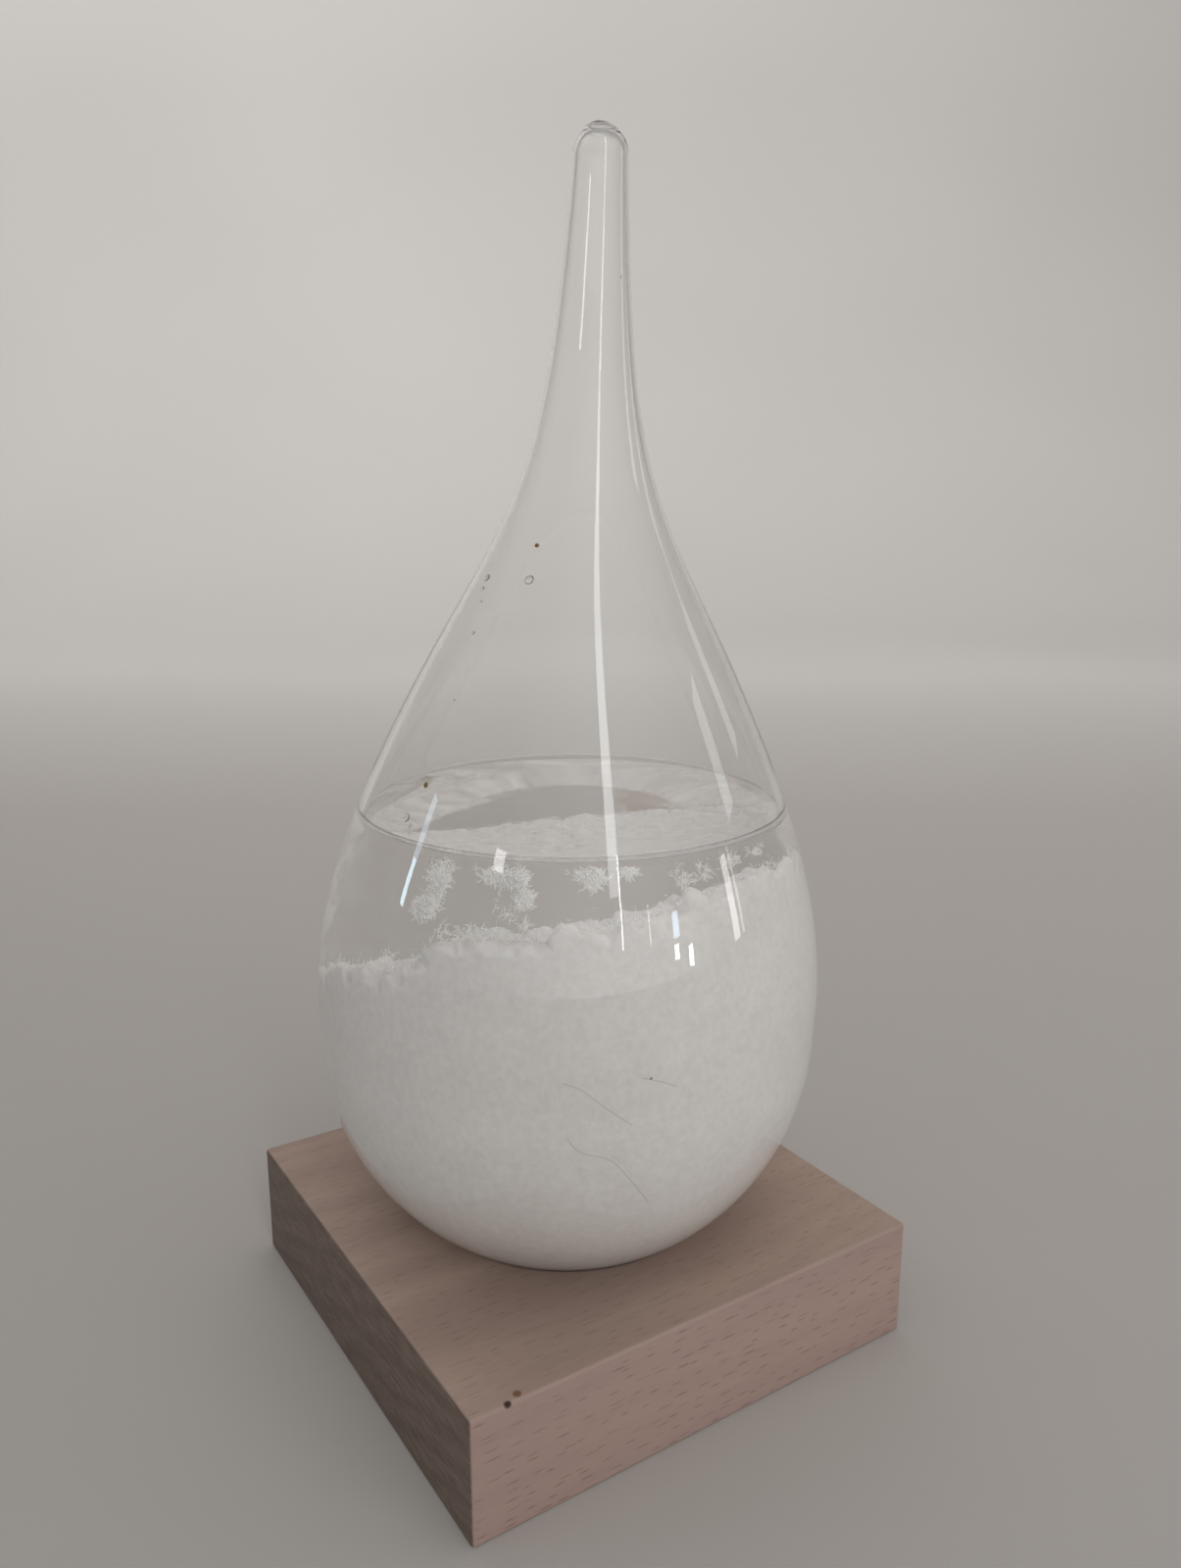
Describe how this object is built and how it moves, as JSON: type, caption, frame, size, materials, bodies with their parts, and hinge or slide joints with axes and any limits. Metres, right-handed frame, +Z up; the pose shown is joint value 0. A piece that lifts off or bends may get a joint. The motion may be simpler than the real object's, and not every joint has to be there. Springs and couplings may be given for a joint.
{
  "type": "storm glass",
  "caption": "Sealed teardrop storm glass holding clear solution over white crystals, standing in the seat of a square wooden block.",
  "frame": {"origin": "middle of the block's underside, on the surface it stands on", "axes": "+Z up, square to the block; +X and +Y along the block's sides. The glass leans a little towards +X and -Y."},
  "size_m": [0.1014, 0.1013, 0.2334],
  "materials": {
    "beech": "matte",
    "clear_glass": "polished",
    "silicone": "matte",
    "solution": "polished",
    "crystal": "matte"
  },
  "bodies": {
    "base": {"base_block": "beech"},
    "glass": {"glass_vessel": "clear_glass", "filling_stopper": "silicone", "storm_solution": "solution", "crystal_bed": "crystal", "crystal_clump_large": "crystal", "crystal_clump_middle": "crystal", "crystal_clump_small": "crystal", "crystal_clump_tiny": "crystal"}
  },
  "joints": [
    {"name": "glass_lift", "type": "slide", "parent": "base", "child": "glass", "axis": [0, 0, 1], "range_m": [0, 0.04]}
  ]
}
